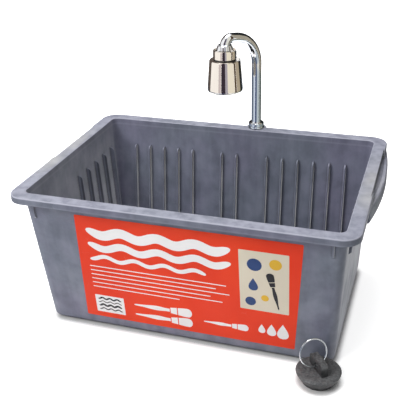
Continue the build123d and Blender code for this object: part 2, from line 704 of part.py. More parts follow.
def ball_cup():
    """The plastic cup under the ball, with the water's way through it."""
    cup = disc(SEAT_RADIUS, CUP_BOTTOM, CUP_TOP)
    way = disc(WATER_WAY_RADIUS, CUP_BOTTOM - 1, CUP_TOP)
    return at_ball(cup - Sphere(BALL_RADIUS + RUNNING) - way)


def head_collar():
    """The ring that screws down over both seats, dished on top so the head can tilt."""
    thread = SPIGOT_RADIUS + SNUG
    seat = SEAT_RADIUS + SNUG
    body = turned(
        [
            (thread, COLLAR_BOTTOM),
            (COLLAR_RADIUS - 0.8, COLLAR_BOTTOM),
            (COLLAR_RADIUS, COLLAR_BOTTOM + 0.8),
            (COLLAR_RADIUS, COLLAR_TOP - 1.0),
            (COLLAR_RADIUS - 0.7, COLLAR_TOP),
            (COLLAR_DISH_RADIUS, COLLAR_TOP),
            (COLLAR_DISH_RADIUS - 0.3, COLLAR_DISH_FLOOR),
            (COLLAR_MOUTH_RADIUS, COLLAR_DISH_FLOOR),
            (COLLAR_MOUTH_RADIUS, UPPER_SEAT_TOP),
            (seat, UPPER_SEAT_TOP),
            (seat, SPIGOT_TOP + 0.2),
            (thread, SPIGOT_TOP + 0.2),
        ]
    )
    return at_ball(body)


def glide_ring():
    """The dark ring that the bell turns against."""
    low = COLLAR_BOTTOM - GLIDE_RING_THICK
    return at_ball(disc(GLIDE_RING_RADIUS, low, COLLAR_BOTTOM, SPIGOT_RADIUS + SNUG))


def spray_core():
    """The water way inside the bell: spigot, flange and down tube."""
    flange_top = BELL_TOP - BELL_ROOF - LOOSE
    flange_low = flange_top - CORE_FLANGE_THICK
    body = turned(
        [
            (SEAT_RADIUS + SNUG, CUP_BOTTOM),
            (SEAT_RADIUS + SNUG, SPIGOT_TOP),
            (SPIGOT_RADIUS, SPIGOT_TOP),
            (SPIGOT_RADIUS, flange_top),
            (CORE_FLANGE_RADIUS, flange_top),
            (CORE_FLANGE_RADIUS, flange_low),
            (CORE_TUBE_RADIUS, flange_low),
            (CORE_TUBE_RADIUS, CORE_BOTTOM),
            (WATER_WAY_RADIUS, CORE_BOTTOM),
            (WATER_WAY_RADIUS, CUP_BOTTOM),
        ]
    )
    return at_ball(body)


def flow_disc():
    """The disc under the down tube, whose ports feed the middle or the outer nozzles."""
    plate = disc(FLOW_DISC_RADIUS, CORE_BOTTOM - FLOW_DISC_THICK, CORE_BOTTOM)
    ports = [Rot(0, 0, 60 * i) * Pos(12, 0, CORE_BOTTOM) * Cylinder(2.5, 10) for i in range(6)]
    return at_ball(plate - ports)


def bell_radius(height):
    """The bell's outer radius at a height below the ball."""
    share = (BELL_TOP - height) / (BELL_TOP - BELL_BOTTOM)
    return BELL_TOP_RADIUS + (BELL_BOTTOM_RADIUS - BELL_TOP_RADIUS) * share


def face_top():
    return BELL_BOTTOM + FACE_RECESS + FACE_THICK


def spray_bell():
    """The chromed shell, a slightly spreading cone with a rounded foot."""
    inside_top = BELL_TOP - BELL_ROOF
    wall = BELL_WALL
    foot = bell_radius(BELL_BOTTOM)
    seat = face_top() + 0.1
    outline = [
        (SPIGOT_RADIUS + LOOSE, BELL_TOP),
        (bell_radius(BELL_TOP) - 1.6, BELL_TOP),
        (bell_radius(BELL_TOP) - 0.5, BELL_TOP - 0.5),
        (bell_radius(BELL_TOP - 1.6), BELL_TOP - 1.6),
        (foot, BELL_BOTTOM + 3.2),
        (foot - 0.3, BELL_BOTTOM + 1.5),
        (foot - 1.0, BELL_BOTTOM + 0.4),
        (foot - 1.7, BELL_BOTTOM),
        (foot - BELL_FOOT_LEDGE, BELL_BOTTOM),
        (foot - BELL_FOOT_LEDGE, seat),
        (bell_radius(seat) - wall - 1.2, seat),
        (bell_radius(seat) - wall - 1.2, seat + 1.2),
        (bell_radius(seat + 2.4) - wall, seat + 2.4),
        (bell_radius(inside_top) - wall, inside_top),
        (SPIGOT_RADIUS + LOOSE, inside_top),
    ]
    return at_ball(turned(outline))


def face_radius():
    return bell_radius(BELL_BOTTOM) - BELL_FOOT_LEDGE - FACE_ROOM


def spray_face():
    """The nozzle plate that closes the bell."""
    radius = face_radius()
    low = BELL_BOTTOM + FACE_RECESS
    plate = disc(radius, low, low + FACE_THICK)
    groove_low = low + FACE_THICK / 2 - FACE_SEAL_RADIUS
    groove = disc(radius + 1, groove_low, groove_low + 2 * FACE_SEAL_RADIUS, radius - FACE_SEAL_DEPTH)
    holes = []
    for ring_radius, count in NOZZLE_RINGS:
        nozzle = Pos(ring_radius, 0, low) * Cylinder(NOZZLE_RADIUS, 20)
        holes += [Rot(0, 0, 360 / count * i) * nozzle for i in range(count)]
    return at_ball(plate - groove - holes)


def face_seal():
    """The rubber ring in the nozzle plate's edge."""
    radius = face_radius()
    half = FACE_SEAL_RADIUS - SEAL_SIDE_ROOM
    middle = BELL_BOTTOM + FACE_RECESS + FACE_THICK / 2
    inner = radius - FACE_SEAL_DEPTH + SEAL_SIDE_ROOM
    return at_ball(disc(radius + 0.02, middle - half, middle + half, inner))


PIECES = {
    "tub": tub,
    "front_label": front_label,
    "stopper": stopper,
    "stopper_ring": stopper_ring,
    "tap_gasket": tap_gasket,
    "tap_shank": tap_shank,
    "tap_washer": tap_washer,
    "tap_lock_nut": tap_lock_nut,
    "gland_nut": gland_nut,
    "gland_ring": gland_ring,
    "gooseneck": gooseneck,
    "lower_neck_seal": lower_neck_seal,
    "upper_neck_seal": upper_neck_seal,
    "union_nut": union_nut,
    "union_seal": union_seal,
    "ball_stem": ball_stem,
    "ball_upper_seat": ball_upper_seat,
    "ball_cup": ball_cup,
    "head_collar": head_collar,
    "glide_ring": glide_ring,
    "spray_core": spray_core,
    "flow_disc": flow_disc,
    "spray_bell": spray_bell,
    "spray_face": spray_face,
    "face_seal": face_seal,
}

os.makedirs("parts", exist_ok=True)
for name, make in PIECES.items():
    export_step(make(), f"parts/{name}.step")
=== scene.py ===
import bpy
import math
import numpy as np
from mathutils import Matrix, Vector


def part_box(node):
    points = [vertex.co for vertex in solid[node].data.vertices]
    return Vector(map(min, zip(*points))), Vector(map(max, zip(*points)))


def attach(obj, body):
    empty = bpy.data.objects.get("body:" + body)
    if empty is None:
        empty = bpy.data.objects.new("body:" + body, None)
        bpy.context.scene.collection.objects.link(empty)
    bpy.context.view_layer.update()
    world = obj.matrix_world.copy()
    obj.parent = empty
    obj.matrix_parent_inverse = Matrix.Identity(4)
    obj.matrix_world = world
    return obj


# A paint-brush washing tub with a gooseneck spray tap and a loose stopper. Metres; +X runs along
# the tub's long side, +Y to its back, +Z up, and the table's top is the plane Z = 0.
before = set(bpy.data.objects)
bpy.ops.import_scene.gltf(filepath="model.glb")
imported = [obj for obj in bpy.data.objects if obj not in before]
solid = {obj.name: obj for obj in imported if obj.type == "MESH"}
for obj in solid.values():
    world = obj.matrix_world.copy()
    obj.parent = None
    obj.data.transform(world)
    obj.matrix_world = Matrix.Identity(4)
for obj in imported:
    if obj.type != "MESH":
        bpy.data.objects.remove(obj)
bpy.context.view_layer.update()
scene = bpy.context.scene
scene.view_settings.view_transform = "Standard"


# ---- The camera ----------------------------------------------------------------------------------
# A plain lens in front of the label and a little to its right, looking down into the open tub. Its
# turn comes from three angles: round the tub, down towards it, and a slight roll.
CAMERA_PLACE = (0.2950, -0.9084, 0.6281)
CAMERA_AZIMUTH, CAMERA_DOWN, CAMERA_ROLL = map(math.radians, (18.88, 26.31, -1.73))
LENS_LENGTH, SENSOR_WIDTH = 66.83, 36.0
back = Vector(
    (
        math.sin(CAMERA_AZIMUTH) * math.cos(CAMERA_DOWN),
        -math.cos(CAMERA_AZIMUTH) * math.cos(CAMERA_DOWN),
        math.sin(CAMERA_DOWN),
    )
)
level = Vector((math.cos(CAMERA_AZIMUTH), math.sin(CAMERA_AZIMUTH), 0))
upright = back.cross(level)
right = level * math.cos(CAMERA_ROLL) + upright * math.sin(CAMERA_ROLL)
up = upright * math.cos(CAMERA_ROLL) - level * math.sin(CAMERA_ROLL)
turn = Matrix((right, up, back)).transposed().to_4x4()
lens = bpy.data.cameras.new("camera")
lens.lens, lens.sensor_width, lens.sensor_fit = LENS_LENGTH, SENSOR_WIDTH, "HORIZONTAL"
lens.clip_start, lens.clip_end = 0.01, 100.0
camera = bpy.data.objects.new("camera", lens)
scene.collection.objects.link(camera)
camera.matrix_world = Matrix.Translation(CAMERA_PLACE) @ turn
scene.camera = camera


# ---- The table and the lamps ---------------------------------------------------------------------
# A pale seamless table, soft lamps at the upper left and overhead, and an even pale sky that a dark
# board shades off the right side. Upright coloured cards stand where only polished metal sees them.
def shader(tree, kind, fed=(), **settings):
    """One node: settings are its own properties, fed maps a socket to a value or to an output."""
    node = tree.nodes.new("ShaderNode" + kind)
    for name, value in settings.items():
        setattr(node, name, value)
    for socket, value in dict(fed).items():
        if isinstance(value, bpy.types.NodeSocket):
            tree.links.new(value, node.inputs[socket])
        else:
            node.inputs[socket].default_value = value
    return node


def sums(tree, operation, *values, clamp=False):
    """The output of one Math node."""
    fed = dict(enumerate(values))
    return shader(tree, "Math", fed, operation=operation, use_clamp=clamp).outputs[0]


def product(tree, *values):
    """Values multiplied together."""
    result = values[0]
    for value in values[1:]:
        result = sums(tree, "MULTIPLY", result, value)
    return result


def scaled(tree, value, by, plus):
    """A value times a factor, plus another value."""
    return sums(tree, "MULTIPLY_ADD", value, by, plus)


def eased(tree, value, low, high, from_value=0.0, to_value=1.0):
    """A smooth step from one value to another between two limits."""
    fed = {"Value": value, "From Min": low, "From Max": high, "To Min": from_value, "To Max": to_value}
    return shader(tree, "MapRange", fed, interpolation_type="SMOOTHSTEP").outputs[0]


def mixed(tree, factor, first, second):
    """A colour between two colours, each of them three numbers or a node's output."""
    first, second = (c + (1.0,) if isinstance(c, tuple) else c for c in (first, second))
    return shader(tree, "Mix", {0: factor, 6: first, 7: second}, data_type="RGBA").outputs[2]


def own_place(tree):
    """Where a point lies on the piece, in metres."""
    return shader(tree, "TexCoord").outputs["Object"]


def parted(tree, vector):
    """The X, Y and Z of a vector."""
    return shader(tree, "SeparateXYZ", {0: vector}).outputs


def noise(tree, place, scale, detail, roughness=0.5):
    """The grey of a noise pattern."""
    fed = {"Vector": place, "Scale": scale, "Detail": detail, "Roughness": roughness}
    return shader(tree, "TexNoise", fed).outputs["Fac"]


def blank(name):
    """An empty material, its nodes, and the socket that its surface goes into."""
    made = bpy.data.materials.new(name)
    made.use_nodes = True
    made.node_tree.nodes.clear()
    return made, made.node_tree, shader(made.node_tree, "OutputMaterial").inputs["Surface"]


def seen_directly(tree):
    """1 for the camera and for what metal and glass show, 0 for light that falls on the object."""
    path = shader(tree, "LightPath").outputs
    looks = sums(tree, "ADD", path["Is Camera Ray"], path["Is Glossy Ray"])
    return sums(tree, "ADD", looks, path["Is Transmission Ray"], clamp=True)


def surface(name, places, quads, smooth=True):
    """A mesh object at the origin from an array of points and an array of corner numbers."""
    mesh = bpy.data.meshes.new(name)
    mesh.from_pydata(np.reshape(places, (-1, 3)).tolist(), [], quads.tolist())
    mesh.polygons.foreach_set("use_smooth", np.full(len(mesh.polygons), smooth))
    mesh.validate()
    made = bpy.data.objects.new(name, mesh)
    scene.collection.objects.link(made)
    return made


def grid_quads(rows, columns, start=0, closed=False):
    """Corner numbers of a rows by columns grid; closed joins the last column to the first."""
    row = np.arange(rows - 1)[:, None]
    column = np.arange(columns if closed else columns - 1)[None, :]
    after = (column + 1) % columns
    a, b = row * columns + column, row * columns + after
    quads = np.stack([a, b, b + columns, a + columns], -1).reshape(-1, 4)
    return quads + start


def table_disc(radius, eye, below, rings=24, spokes=96):
    """Points (r·cos t, r·sin t, -below), with r growing from a tiny eye as the square of the ring's
    number, and t going once round."""
    r = radius * (np.arange(rings + 1) / rings) ** 2 + eye
    t = np.linspace(0, 2 * np.pi, spokes, endpoint=False)
    flat = np.stack([np.outer(r, np.cos(t)), np.outer(r, np.sin(t))], -1)
    places = np.concatenate([flat, np.full(flat.shape[:2] + (1,), -below)], -1)
    return surface("table", places, grid_quads(rings + 1, spokes, closed=True))


TABLE_RADIUS, TABLE_EYE, TABLE_BELOW = 9.0, 0.001, 0.0004
TABLE_TONE, TABLE_FLECK, TABLE_GLOW = 0.79, 0.02, 0.78
# how far the painted shade in the corner under the tub's foot reaches, and where the floor turns all
# white
CONTACT_REACH, SHADE_END = 0.013, (0.42, 0.61)
table = table_disc(TABLE_RADIUS, TABLE_EYE, TABLE_BELOW)
paper, tree, out = blank("table_paper")
place = own_place(tree)
tone = scaled(tree, noise(tree, place, 180.0, 3.0), TABLE_FLECK, TABLE_TONE)
matte = shader(tree, "BsdfDiffuse", {"Color": mixed(tree, tone, (0.0, 0.0, 0.0), (1.0, 1.0, 1.0))})
# what looks at the table sees it brighter than it lights, but an occlusion mask holds that glow back in
# the corner under the foot, so the real shadow there is deepened by painted shade
near = shader(tree, "AmbientOcclusion", {"Distance": CONTACT_REACH}, samples=8).outputs["AO"]
near = product(tree, eased(tree, near, 0.45, 0.95), TABLE_GLOW)
distance = shader(tree, "VectorMath", {0: place}, operation="LENGTH").outputs["Value"]
brighter = sums(tree, "MAXIMUM", near, eased(tree, distance, *SHADE_END))
strength = product(tree, seen_directly(tree), brighter)
glow = shader(tree, "Emission", {"Color": (1, 1, 1, 1), "Strength": strength})
both = shader(tree, "AddShader", {0: matte.outputs[0], 1: glow.outputs[0]})
tree.links.new(both.outputs[0], out)
table.data.materials.append(paper)

SKY_LIGHT, SKY_SEEN = 0.48, 1.0
sky = bpy.data.worlds.new("sky")
scene.world = sky
sky.use_nodes = True
tree = sky.node_tree
tree.nodes.clear()
strength = eased(tree, seen_directly(tree), 0.0, 1.0, SKY_LIGHT, SKY_SEEN)
light = shader(tree, "Background", {"Color": (1, 1, 1, 1), "Strength": strength})
tree.links.new(light.outputs[0], shader(tree, "OutputWorld").inputs["Surface"])

# square soft lamps, turned to the middle of the tub: place, side and watts
LAMP_AIM = Vector((0, 0, 0.12))
LAMPS = {
    "left_lamp": ((-1.1, -1.8, 2.0), 0.9, 33.0),
    "top_lamp": ((-0.4, 0.1, 2.6), 1.5, 38.0),
}
for name, (place, side, power) in LAMPS.items():
    light = bpy.data.lights.new(name, "AREA")
    light.shape, light.size, light.energy = "SQUARE", side, power
    lamp = bpy.data.objects.new(name, light)
    scene.collection.objects.link(lamp)
    turn = (LAMP_AIM - Vector(place)).to_track_quat("-Z", "Y").to_matrix().to_4x4()
    lamp.matrix_world = Matrix.Translation(place) @ turn
    lamp.visible_camera = False

CARD_RING_X, CARD_RING_Y, CARD_RING_RADIUS = 0.010, 0.135, 0.40
CARD_TOP, CARD_COLUMNS = 1.1, 24
CARD_TURN_HEIGHT, CARD_TURN_EASE = 0.19, 0.01
# each card's edges in degrees about the ring, its warm upper colour that the spray head shows, and
# its cool lower colour that the neck shows
CARDS = {
    "card_left_edge": (-176, -108, (0.11, 0.09, 0.08), (0.10, 0.12, 0.15)),
    "card_left_grey": (-108, -74, (1.00, 0.97, 0.93), (0.20, 0.23, 0.29)),
    "card_left_pale": (-74, -46, (1.00, 0.97, 0.93), (0.74, 0.78, 0.84)),
    "card_pink": (-46, -31, (0.60, 0.53, 0.53), (0.50, 0.55, 0.66)),
    "card_dark": (-30, -5, (0.040, 0.030, 0.042), (0.030, 0.045, 0.115)),
    "card_violet": (-5, 10, (0.40, 0.38, 0.44), (0.14, 0.18, 0.27)),
    "card_cream": (10, 56, (0.84, 0.80, 0.68), (0.54, 0.58, 0.58)),
    "card_brown": (57, 72, (0.09, 0.06, 0.035), (0.16, 0.18, 0.165)),
    "card_tan": (73, 108, (0.42, 0.37, 0.28), (0.24, 0.27, 0.24)),
    "card_right_edge": (108, 176, (0.02, 0.022, 0.022), (0.010, 0.018, 0.014)),
}


def card_places(first, last):
    """Two rows of points (x0 + R·sin a, y0 - R·cos a, z) of an upright cylinder about the tap, where
    a runs between two angles from the camera's side and z is 0 and the card's top."""
    a = np.radians(np.linspace(first, last, CARD_COLUMNS)) + CAMERA_AZIMUTH
    x = CARD_RING_X + CARD_RING_RADIUS * np.sin(a)
    y = CARD_RING_Y - CARD_RING_RADIUS * np.cos(a)
    return [np.stack([x, y, np.full(CARD_COLUMNS, z)], -1) for z in (0.0, CARD_TOP)]


def stage_card(name, places, columns, material):
    """An unseen card of two rows of points that takes part in reflections or in shade."""
    card = surface(name, places, grid_quads(2, columns))
    card.data.materials.append(material)
    card.visible_camera = card.visible_transmission = card.visible_volume_scatter = False
    return card


for name, (first, last, upper, lower) in CARDS.items():
    face, tree, out = blank(name)
    height = parted(tree, own_place(tree))["Z"]
    low, high = CARD_TURN_HEIGHT - CARD_TURN_EASE, CARD_TURN_HEIGHT + CARD_TURN_EASE
    tint = mixed(tree, eased(tree, height, low, high), lower, upper)
    tree.links.new(shader(tree, "Emission", {"Color": tint}).outputs[0], out)
    face.cycles.emission_sampling = "NONE"
    card = stage_card(name, card_places(first, last), CARD_COLUMNS, face)
    card.visible_diffuse = card.visible_shadow = False

# the dark board stands across the X axis and shades the right side from the sky
BOARD_X, BOARD_HALF, BOARD_FOOT, BOARD_TOP = 0.62, 0.60, 0.01, 0.75
board_paint, tree, out = blank("board_paint")
black = shader(tree, "BsdfDiffuse", {"Color": (0.03, 0.03, 0.03, 1)})
tree.links.new(black.outputs[0], out)
board_places = [(BOARD_X, y, z) for z in (BOARD_FOOT, BOARD_TOP) for y in (-BOARD_HALF, BOARD_HALF)]
stage_card("shade_board", board_places, 2, board_paint).visible_glossy = False


# ---- The tub -------------------------------------------------------------------------------------
# One thin-walled moulding of grey plastic, with a turned-down rim, bowed grips and scrubbing ribs.
# The plastic is clouded by the mould's flow, finely textured, and rubbed pale where hands hold it. Its
# rim's top and edges also carry painted highlight, and its rib sides, creases and foot carry painted
# shade.
def effect(name, takes, gives):
    """A node group that takes a place and some numbers and gives masks, still without nodes: its
    tree, what it is given, and the sockets for what it gives."""
    group = bpy.data.node_groups.new(name, "ShaderNodeTree")
    group.interface.new_socket("Place", in_out="INPUT", socket_type="NodeSocketVector")
    for socket, value in takes.items():
        taken = group.interface.new_socket(socket, in_out="INPUT", socket_type="NodeSocketFloat")
        taken.default_value = value
    for socket in gives:
        group.interface.new_socket(socket, in_out="OUTPUT", socket_type="NodeSocketFloat")
    return group, group.nodes.new("NodeGroupInput").outputs, group.nodes.new("NodeGroupOutput").inputs


def use(tree, group, place, **numbers):
    """Puts a group into a material, with the material's own numbers."""
    node = tree.nodes.new("ShaderNodeGroup")
    node.node_tree = group
    tree.links.new(place, node.inputs["Place"])
    for socket, value in numbers.items():
        node.inputs[socket].default_value = value
    return node.outputs


# Cloud: broad soft patches. Streak: a finer noise drawn out upwards. Grain: the mould's texture.
DRAWN_UPWARDS = (1.0, 1.0, 0.16)
mould_marks, given, gives = effect(
    "mould_marks", {"Patch": 22.0, "Texture": 1400.0}, ("Cloud", "Streak", "Grain")
)
cloud = noise(mould_marks, given["Place"], given["Patch"], 4.0, 0.55)
fed = {0: given["Place"], 1: DRAWN_UPWARDS}
drawn = shader(mould_marks, "VectorMath", fed, operation="MULTIPLY").outputs[0]
streak = noise(mould_marks, drawn, product(mould_marks, given["Patch"], 2.2), 3.0)
grain = noise(mould_marks, given["Place"], given["Texture"], 2.0)
mould_marks.links.new(eased(mould_marks, cloud, 0.30, 0.70), gives["Cloud"])
mould_marks.links.new(eased(mould_marks, streak, 0.32, 0.68), gives["Streak"])
mould_marks.links.new(grain, gives["Grain"])

# Scratch: hairlines where a bent cell pattern meets a noise gate. Rub: soft patches of wear.
BEND = (0.05, 0.05, 0.05)
rubbing, given, gives = effect(
    "rubbing", {"Lines": 60.0, "Patch": 30.0, "Amount": 0.5}, ("Scratch", "Rub")
)
fed = {"Vector": given["Place"], "Scale": 9.0, "Detail": 2.0}
push = shader(rubbing, "TexNoise", fed).outputs["Color"]
fed = {0: push, 1: BEND, 2: given["Place"]}
bent = shader(rubbing, "VectorMath", fed, operation="MULTIPLY_ADD").outputs[0]
fed = {"Vector": bent, "Scale": given["Lines"]}
cells = shader(rubbing, "TexVoronoi", fed, feature="DISTANCE_TO_EDGE").outputs["Distance"]
hair = eased(rubbing, cells, 0.0, 0.012, 1.0, 0.0)
gate = noise(rubbing, given["Place"], given["Patch"], 3.0)
opened = sums(rubbing, "SUBTRACT", gate, scaled(rubbing, given["Amount"], -0.30, 0.75))
rubbing.links.new(product(rubbing, hair, eased(rubbing, opened, -0.02, 0.10)), gives["Scratch"])
rubbing.links.new(eased(rubbing, opened, -0.06, 0.16), gives["Rub"])

# Speck: small soft dots, of which a share chosen by each cell's own colour is kept.
specks, given, gives = effect("specks", {"Count": 400.0, "Size": 0.2, "Share": 0.3}, ("Speck",))
dots = shader(specks, "TexVoronoi", {"Vector": given["Place"], "Scale": given["Count"]}).outputs
chance = shader(specks, "SeparateColor", {0: dots["Color"]}).outputs[0]
kept = sums(specks, "LESS_THAN", chance, given["Share"])
reach = sums(specks, "DIVIDE", dots["Distance"], given["Size"])
specks.links.new(product(specks, eased(specks, reach, 0.4, 1.0, 1.0, 0.0), kept), gives["Speck"])


def weighed(tree, *pairs):
    """The sum of value times weight over some pairs, none below 0, kept within 1."""
    result = 0.0
    for value, weight in pairs:
        result = sums(tree, "MULTIPLY_ADD", value, weight, result, clamp=True)
    return result


def skin(tree, out, colour, rough, height, relief, plain=()):
    """The surface of a material: relief is its bump's strength and depth, plain its even values."""
    strength, depth = relief
    bump = shader(tree, "Bump", {"Strength": strength, "Distance": depth, "Height": height})
    fed = {"Base Color": colour, "Roughness": rough, "Normal": bump.outputs[0], **dict(plain)}
    tree.links.new(shader(tree, "BsdfPrincipled", fed).outputs[0], out)


def finish(node, material):
    """Puts a finish on a CAD node's material slots."""
    if not solid[node].data.materials:
        solid[node].data.materials.append(material)
    for held in solid[node].material_slots:
        held.material = material


TUB_PURPLE = ((0.120, 0.122, 0.176), (0.226, 0.226, 0.312))
TUB_BLUE = ((0.116, 0.132, 0.172), (0.214, 0.236, 0.294))
# pale colour for rubbed wear and for the painted highlight on the rim's top and edges
TUB_WORN_AND_LIT = (0.395, 0.405, 0.485)
TUB_WORN_PALE = (0.500, 0.495, 0.480)
# the dark colour of the painted shade on the ribs' sides, in the creases and along the foot
TUB_SHADE = (0.014, 0.014, 0.022)
RIM_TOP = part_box("tub")[1][2]
SKIRT_EDGE_BELOW = 0.0084
# a palm's mark fades out along Y between two distances from the middle, and sets in between two
# along X, where the rim's side begins
PALM_FADES, PALM_SETS_IN = (0.02, 0.12), (0.205, 0.222)
# the inner walls' planes stand at foot + slope·z from the middle; the ribs end short of the corners
SIDE_WALL_FOOT, SIDE_WALL_SLOPE, SIDE_RIBS_END = 0.2010, 0.048, 0.112
BACK_WALL_FOOT, BACK_WALL_SLOPE, BACK_RIBS_END = 0.1239, 0.107, 0.170
# strength of the painted shade on the ribs' sides, its reach and strength in the creases, and its
# strength and height at the foot
RIB_SIDE_SHADE = 0.75
CREASE_REACH, CREASE_SHADE = 0.011, 0.70
FOOT_SHADE, FOOT_SHADE_TOP = 0.97, 0.0080

plastic, tree, out = blank("tub_plastic")
place = own_place(tree)
marks = use(tree, mould_marks, place, Patch=32.0, Texture=1500.0)
tints = use(tree, mould_marks, place, Patch=9.0, Texture=300.0)
smears = use(tree, mould_marks, place, Patch=62.0, Texture=300.0)
worn = use(tree, rubbing, place, Lines=55.0, Patch=26.0, Amount=0.55)
dots = use(tree, specks, place, Count=420.0, Size=0.16, Share=0.22)["Speck"]
across = parted(tree, place)
facing = parted(tree, shader(tree, "NewGeometry").outputs["Normal"])
span = {axis: sums(tree, "ABSOLUTE", across[axis]) for axis in "XY"}
turned = {axis: eased(tree, sums(tree, "ABSOLUTE", facing[axis]), 0.70, 0.90) for axis in "XY"}

# two close greys, clouded, streaked and smeared
grey = weighed(tree, (marks["Cloud"], 0.46), (marks["Streak"], 0.32), (smears["Cloud"], 0.22))
colour = mixed(tree, tints["Cloud"], mixed(tree, grey, *TUB_PURPLE), mixed(tree, grey, *TUB_BLUE))

# the rim's top, its rounded edges and the skirt's lower edge are made pale: partly real scuffs and
# scratches, partly painted top light on the rim and painted highlight lines along the edges
high = eased(tree, across["Z"], RIM_TOP - 0.014, RIM_TOP - 0.004)
rim = product(tree, eased(tree, facing["Z"], 0.75, 0.97), high)
rounded = eased(tree, facing["Z"], 0.15, 0.5), eased(tree, facing["Z"], 0.90, 0.99, 1.0, 0.0)
edge = product(tree, *rounded, high)
below = sums(tree, "SUBTRACT", across["Z"], RIM_TOP - SKIRT_EDGE_BELOW)
skirt_edge = eased(tree, sums(tree, "ABSOLUTE", below), 0.0, 0.0022, 1.0, 0.0)
# real wear and painted highlight, weighed together
wear_and_highlight = weighed(
    tree,
    (product(tree, rim, scaled(tree, smears["Cloud"], 0.55, 0.28)), 1.0),
    (edge, 0.75),
    (worn["Scratch"], 0.24),
    (skirt_edge, 0.18),
    (dots, 0.20),
)
colour = mixed(tree, wear_and_highlight, colour, TUB_WORN_AND_LIT)

# the palms' places on the rim, above the grips, are the palest
beside = eased(tree, span["Y"], *PALM_FADES, 1.0, 0.0), eased(tree, span["X"], *PALM_SETS_IN)
palms = product(tree, rim, *beside, scaled(tree, tints["Streak"], 0.5, 0.25))
colour = mixed(tree, palms, colour, TUB_WORN_PALE)


def rib_sides(along, end, towards, foot, slope, shade_from, shade_full):
    """1 on the sides of a wall's ribs, near their crests: faces turned along the wall, short of its
    end, and this deep or deeper inside the wall's plane."""
    depth = sums(tree, "SUBTRACT", scaled(tree, across["Z"], slope, foot), span[towards])
    short = sums(tree, "LESS_THAN", span[along], end)
    return product(tree, turned[along], short, eased(tree, depth, shade_from, shade_full))


# painted shade darkens the ribs' sides, the creases where walls, ribs and props meet, and the foot
back_ribs = rib_sides("X", BACK_RIBS_END, "Y", BACK_WALL_FOOT, BACK_WALL_SLOPE, 0.002, 0.004)
side_ribs = rib_sides("Y", SIDE_RIBS_END, "X", SIDE_WALL_FOOT, SIDE_WALL_SLOPE, 0.0035, 0.0055)
ribs = sums(tree, "ADD", back_ribs, side_ribs)
# the ribs' sides near their crests get painted shade
rib_shade = product(tree, ribs, eased(tree, across["Z"], 0.010, 0.020), RIB_SIDE_SHADE)
colour = mixed(tree, rib_shade, colour, TUB_SHADE)
# an occlusion mask darkens the creases as painted shade
fed = {"Distance": CREASE_REACH}
crease = shader(tree, "AmbientOcclusion", fed, samples=6, only_local=True).outputs["AO"]
colour = mixed(tree, eased(tree, crease, 0.25, 0.85, CREASE_SHADE, 0.0), colour, TUB_SHADE)
# a painted shadow line along the foot's bottom few millimetres
foot = eased(tree, across["Z"], 0.0005, FOOT_SHADE_TOP, FOOT_SHADE, 0.0)
colour = mixed(tree, foot, colour, TUB_SHADE)

rough = scaled(tree, wear_and_highlight, 0.12, scaled(tree, marks["Cloud"], -0.08, 0.50))
height = scaled(tree, marks["Cloud"], 1.2, scaled(tree, worn["Scratch"], -0.8, marks["Grain"]))
skin(tree, out, colour, rough, height, (0.28, 0.00012), {"IOR": 1.49})
finish("tub", plastic)
# the tap shows the coloured cards, and not the dark hollow or the red sheet below it
solid["tub"].visible_glossy = solid["front_label"].visible_glossy = False


# ---- The printed sheet on the front wall ---------------------------------------------------------
# A satin film in orange red, stuck flat on the sloping wall. Its print is plain shapes: white waves,
# brushes, drops and bars, a pale panel with round dabs of paint, and a white block with dark waves.
# the front wall leans out by this run over this rise
WALL_RUN, WALL_RISE = 0.0221, 0.2065
SHEET_LEAN = math.atan2(WALL_RUN, WALL_RISE)
SHEET_OUT = Vector((0, -math.cos(SHEET_LEAN), -math.sin(SHEET_LEAN)))
SHEET_UP = Vector((0, -math.sin(SHEET_LEAN), math.cos(SHEET_LEAN)))
# the sheet's ends slant, so along X its middle is not the middle of its box
SHEET_MIDDLE_X, SHEET_THICK = 0.0115, 0.0003
sheet_low, sheet_high = map(Vector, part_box("front_label"))
sheet_middle = (sheet_low + sheet_high) / 2
sheet_middle.x = SHEET_MIDDLE_X
SHEET_FACE = sheet_middle + SHEET_OUT * (SHEET_THICK / 2)
RUBBED_INK = (0.80, 0.60, 0.52)


def film(name, colour, deeper):
    """Printed film: a little uneven in ink, rubbed pale in specks and hairlines, and softly rippled."""
    made, tree, out = blank(name)
    place = own_place(tree)
    marks = use(tree, mould_marks, place, Patch=12.0, Texture=2600.0)
    worn = use(tree, rubbing, place, Lines=42.0, Patch=34.0, Amount=0.35)
    dots = use(tree, specks, place, Count=900.0, Size=0.2, Share=0.05)["Speck"]
    faded = weighed(tree, (worn["Scratch"], 0.16), (dots, 0.20))
    inked = mixed(tree, faded, mixed(tree, marks["Cloud"], colour, deeper), RUBBED_INK)
    rough = scaled(tree, marks["Streak"], 0.10, 0.36)
    height = scaled(tree, marks["Cloud"], 6.0, marks["Grain"])
    skin(tree, out, inked, rough, height, (0.22, 0.00006), {"Specular IOR Level": 0.25})
    return made


finish("front_label", film("label_film", (0.850, 0.054, 0.012), (0.790, 0.042, 0.010)))
white_ink = film("white_ink", (0.92, 0.92, 0.92), (0.86, 0.86, 0.87))
cream_ink = film("cream_ink", (0.74, 0.68, 0.55), (0.68, 0.62, 0.50))
blue_ink = film("blue_ink", (0.035, 0.075, 0.22), (0.028, 0.060, 0.17))
yellow_ink = film("yellow_ink", (0.78, 0.48, 0.05), (0.70, 0.42, 0.04))
dark_ink = film("dark_ink", (0.030, 0.030, 0.036), (0.022, 0.022, 0.028))
# how far a shape lies out from the sheet, by its place in the pile, and a printed edge's least width
FIRST_INK, SECOND_INK, THIRD_INK = 0.00005, 0.0001, 0.00015
LEAST_HALF = 1e-4


